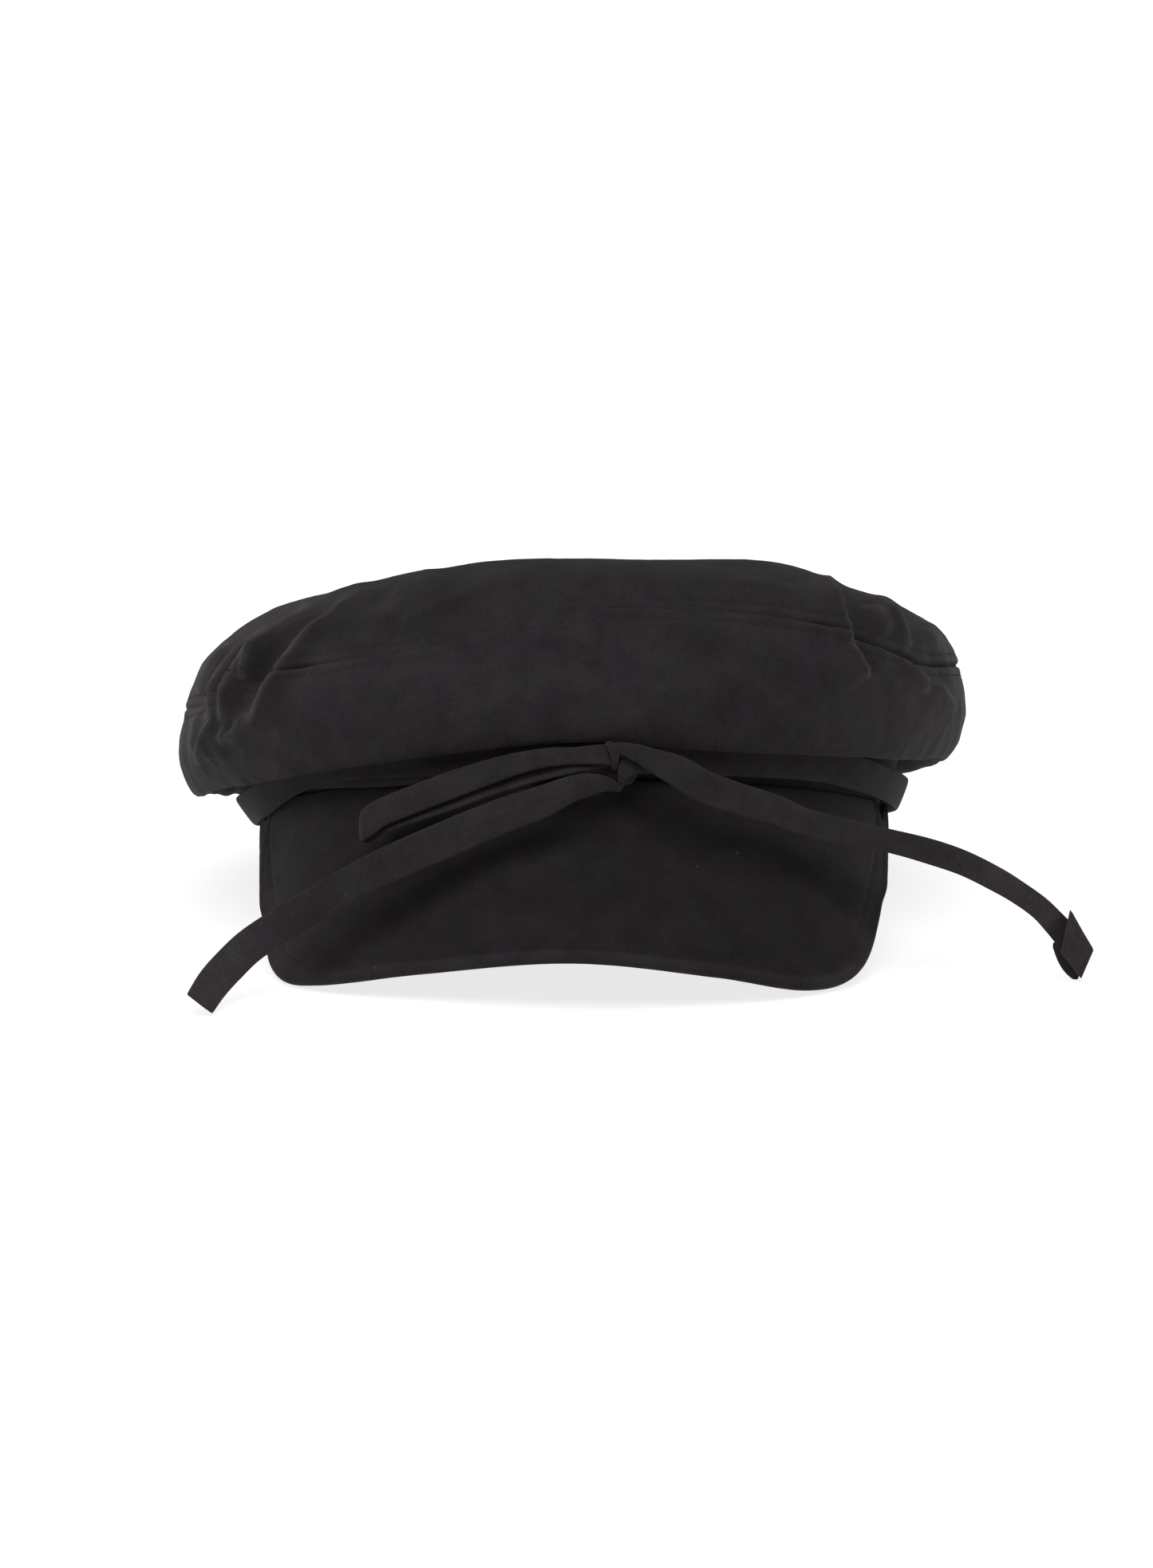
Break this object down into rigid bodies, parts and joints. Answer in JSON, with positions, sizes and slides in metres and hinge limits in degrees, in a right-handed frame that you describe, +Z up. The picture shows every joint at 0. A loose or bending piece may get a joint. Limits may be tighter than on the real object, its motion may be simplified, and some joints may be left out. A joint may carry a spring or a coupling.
{
  "type": "sailor cap",
  "caption": "Soft black cloth cap: a full crown that rolls over its head band, a steep peak, and a narrow tie wound round the band and knotted in a half bow at the front.",
  "frame": {"origin": "on the surface that the cap rests on, under the middle of the cap without its free tie ends", "axes": "+Z up, -Y towards the front of the cap, where the peak is, +X to the right of someone who looks at the front"},
  "size_m": [0.2608, 0.2611, 0.1135],
  "materials": {
    "band_cloth": "matte plain weave cotton, inside of the band",
    "crown_side_cloth": "matte washed plain weave cotton",
    "crown_top_cloth": "matte washed plain weave cotton",
    "peak_cloth": "matte plain weave cotton over a stiffened board",
    "tie_cloth": "matte plain weave cotton tube, pressed flat"
  },
  "bodies": {
    "root": {"head_band": "band_cloth", "crown_side": "crown_side_cloth", "crown_top": "crown_top_cloth", "peak": "peak_cloth", "tie_wrap_1": "tie_cloth", "tie_wrap_2": "tie_cloth", "tie_wrap_3": "tie_cloth", "tie_knot": "tie_cloth", "bow_loop": "tie_cloth", "tail_left": "tie_cloth", "tail_right": "tie_cloth"}
  },
  "joints": []
}
